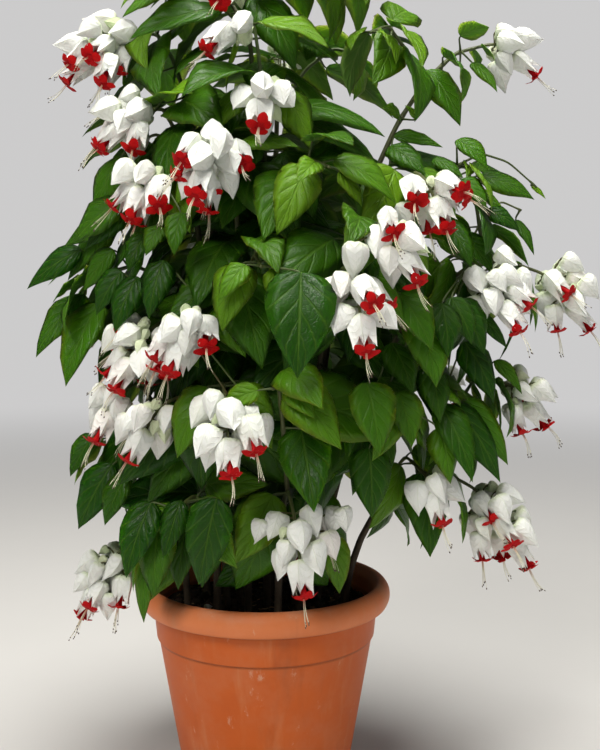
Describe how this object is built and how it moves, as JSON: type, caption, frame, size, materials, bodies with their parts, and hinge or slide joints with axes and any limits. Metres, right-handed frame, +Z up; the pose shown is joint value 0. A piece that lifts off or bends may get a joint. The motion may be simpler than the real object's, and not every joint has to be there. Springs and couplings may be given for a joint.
{
  "type": "potted flowering vine",
  "caption": "Bleeding heart vine in flower, its leafy canes arching over a round terracotta-coloured plastic pot with a rolled rim.",
  "frame": {"origin": "centre of the pot's flat base, on the surface that the pot stands on", "axes": "+Z up the plant, -Y towards the front, +X to the right seen from the front"},
  "size_m": [0.5478, 0.4466, 0.8339],
  "materials": {
    "pot_plastic": "moulded, satin, with pale scuffs and dust",
    "soil": "loose, dark and crumbly",
    "foliage": "semi-gloss leaves with sunken veins on green stems",
    "flowers": "papery white calyces with crimson corollas"
  },
  "bodies": {
    "root": {"cane_back_left": "foliage", "cane_back_mid": "foliage", "cane_back_right": "foliage", "cane_back_top": "foliage", "cane_front_left": "foliage", "cane_front_left_low": "foliage", "cane_front_low": "foliage", "cane_front_right": "foliage", "cane_front_top": "foliage", "cane_left_back": "foliage", "cane_left_high": "foliage", "cane_left_low": "foliage", "cane_left_mid": "foliage", "cane_right_high": "foliage", "cane_right_low": "foliage", "cane_right_mid": "foliage", "cane_top": "foliage", "pot": "pot_plastic", "potting_soil": "soil", "spray_back_left_1": "flowers", "spray_back_left_2": "flowers", "spray_back_mid_1": "flowers", "spray_back_right_1": "flowers", "spray_back_right_2": "flowers", "spray_back_top_1": "flowers", "spray_front_left_1": "flowers", "spray_front_left_2": "flowers", "spray_front_left_low_1": "flowers", "spray_front_left_low_2": "flowers", "spray_front_low_1": "flowers", "spray_front_right_1": "flowers", "spray_front_right_2": "flowers", "spray_front_top_1": "flowers", "spray_front_top_3": "flowers", "spray_left_back_1": "flowers", "spray_left_high_1": "flowers", "spray_left_low_1": "flowers", "spray_left_low_2": "flowers", "spray_left_mid_1": "flowers", "spray_left_mid_2": "flowers", "spray_left_mid_3": "flowers", "spray_right_high_1": "flowers", "spray_right_high_2": "flowers", "spray_right_low_1": "flowers", "spray_right_low_2": "flowers", "spray_right_low_3": "flowers", "spray_right_mid_1": "flowers", "spray_right_mid_2": "flowers", "spray_top_1": "flowers"}
  },
  "joints": []
}
